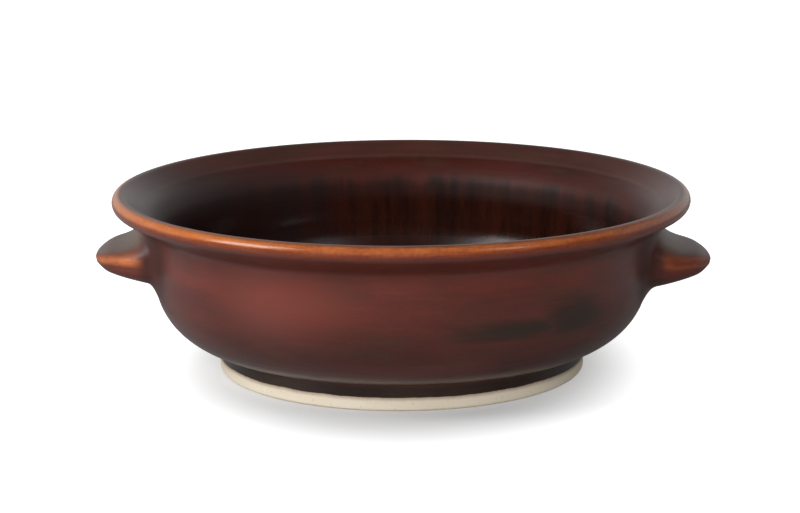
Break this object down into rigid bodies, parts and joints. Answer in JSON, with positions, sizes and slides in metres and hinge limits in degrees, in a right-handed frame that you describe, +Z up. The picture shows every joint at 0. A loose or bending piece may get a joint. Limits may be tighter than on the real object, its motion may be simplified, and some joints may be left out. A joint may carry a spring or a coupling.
{
  "type": "round baking dish",
  "caption": "Round stoneware baking dish with a flared, rolled lip, a full belly on a foot ring and a lug on each side to lift it by.",
  "frame": {"origin": "centre of the bowl, on the surface that the foot ring stands on", "axes": "+Z up along the bowl's axis, X through the two lugs"},
  "size_m": [0.257, 0.24, 0.0755],
  "materials": {
    "glazed_stoneware": "glossy reddish-brown glaze that breaks to amber on the edges, with an unglazed buff foot"
  },
  "bodies": {
    "root": {"dish": "glazed_stoneware"}
  },
  "joints": []
}
